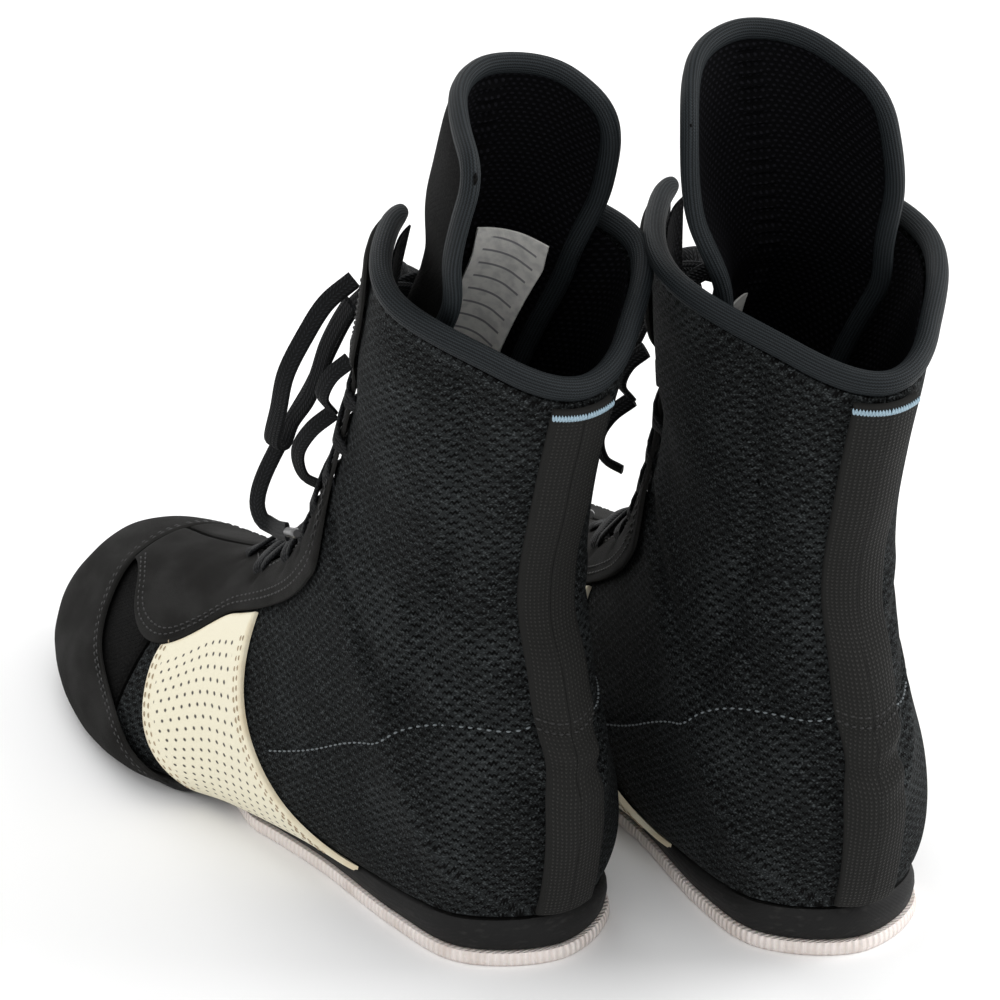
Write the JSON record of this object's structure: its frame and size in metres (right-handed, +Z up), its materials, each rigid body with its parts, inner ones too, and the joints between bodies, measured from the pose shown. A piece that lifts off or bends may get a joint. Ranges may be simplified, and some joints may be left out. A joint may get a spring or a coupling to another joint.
{
  "type": "boxing boots",
  "caption": "Pair of high-top lace-up boxing boots with mesh shafts, suede toe caps and eyestays, tall tongues and thin rubber soles.",
  "frame": {"origin": "on the ground, at the middle of the pair's bounding box without the bow's loops and tails", "axes": "+Z up, +Y towards the left boot's toe, +X from the left boot to the right boot"},
  "size_m": [0.2102, 0.3526, 0.264],
  "materials": {
    "outsole": "matte pale gum rubber",
    "rubber": "matte black",
    "board": "fibreboard",
    "foam": "foam with a knitted top",
    "stiffener": "pressed thermoplastic sheet",
    "mesh": "padded sandwich mesh",
    "fine_mesh": "fine knitted mesh",
    "suede": "microsuede",
    "leather": "smooth, satin",
    "webbing": "ribbed grosgrain",
    "tape": "knitted binding tape",
    "lining": "dotted lining mesh",
    "label": "plain woven label",
    "lace": "flat braid",
    "aglet": "black film"
  },
  "bodies": {
    "left_boot": {"left_aglet_lateral": "aglet", "left_aglet_medial": "aglet", "left_bow_knot": "lace", "left_bow_loop_lateral": "lace", "left_bow_loop_medial": "lace", "left_collar_roll": "tape", "left_eyestay_lateral": "suede", "left_eyestay_medial": "suede", "left_heel_counter": "stiffener", "left_heel_webbing": "webbing", "left_lace_run": "lace", "left_lace_tail_lateral": "lace", "left_lace_tail_medial": "lace", "left_lasting_board": "board", "left_lining": "lining", "left_midsole": "rubber", "left_outsole": "outsole", "left_quarter_lateral": "mesh", "left_quarter_medial": "mesh", "left_side_panel_lateral": "leather", "left_side_panel_medial": "leather", "left_size_label": "label", "left_sock_liner": "foam", "left_toe_cap": "suede", "left_toe_puff": "stiffener", "left_tongue": "fine_mesh", "left_vamp": "fine_mesh"},
    "left_tongue_flap": {"left_tongue_flap": "fine_mesh"},
    "right_boot": {"right_aglet_lateral": "aglet", "right_aglet_medial": "aglet", "right_bow_knot": "lace", "right_bow_loop_lateral": "lace", "right_bow_loop_medial": "lace", "right_collar_roll": "tape", "right_eyestay_lateral": "suede", "right_eyestay_medial": "suede", "right_heel_counter": "stiffener", "right_heel_webbing": "webbing", "right_lace_run": "lace", "right_lace_tail_lateral": "lace", "right_lace_tail_medial": "lace", "right_lasting_board": "board", "right_lining": "lining", "right_midsole": "rubber", "right_outsole": "outsole", "right_quarter_lateral": "mesh", "right_quarter_medial": "mesh", "right_side_panel_lateral": "leather", "right_side_panel_medial": "leather", "right_size_label": "label", "right_sock_liner": "foam", "right_toe_cap": "suede", "right_toe_puff": "stiffener", "right_tongue": "fine_mesh", "right_vamp": "fine_mesh"},
    "right_tongue_flap": {"right_tongue_flap": "fine_mesh"}
  },
  "joints": [
    {"name": "right_boot_lift", "type": "slide", "parent": "left_boot", "child": "right_boot", "axis": [0, 0, 1], "range_m": [0, 0.3]},
    {"name": "left_tongue_fold", "type": "hinge", "parent": "left_boot", "child": "left_tongue_flap", "pos_m": [-0.05258, -0.07368, 0.2204], "axis": [-1, 0, 0], "range_deg": [0, 100]},
    {"name": "right_tongue_fold", "type": "hinge", "parent": "right_boot", "child": "right_tongue_flap", "pos_m": [0.02161, -0.10472, 0.21807], "axis": [-0.9869, 0.1613, 0], "range_deg": [0, 100]}
  ]
}
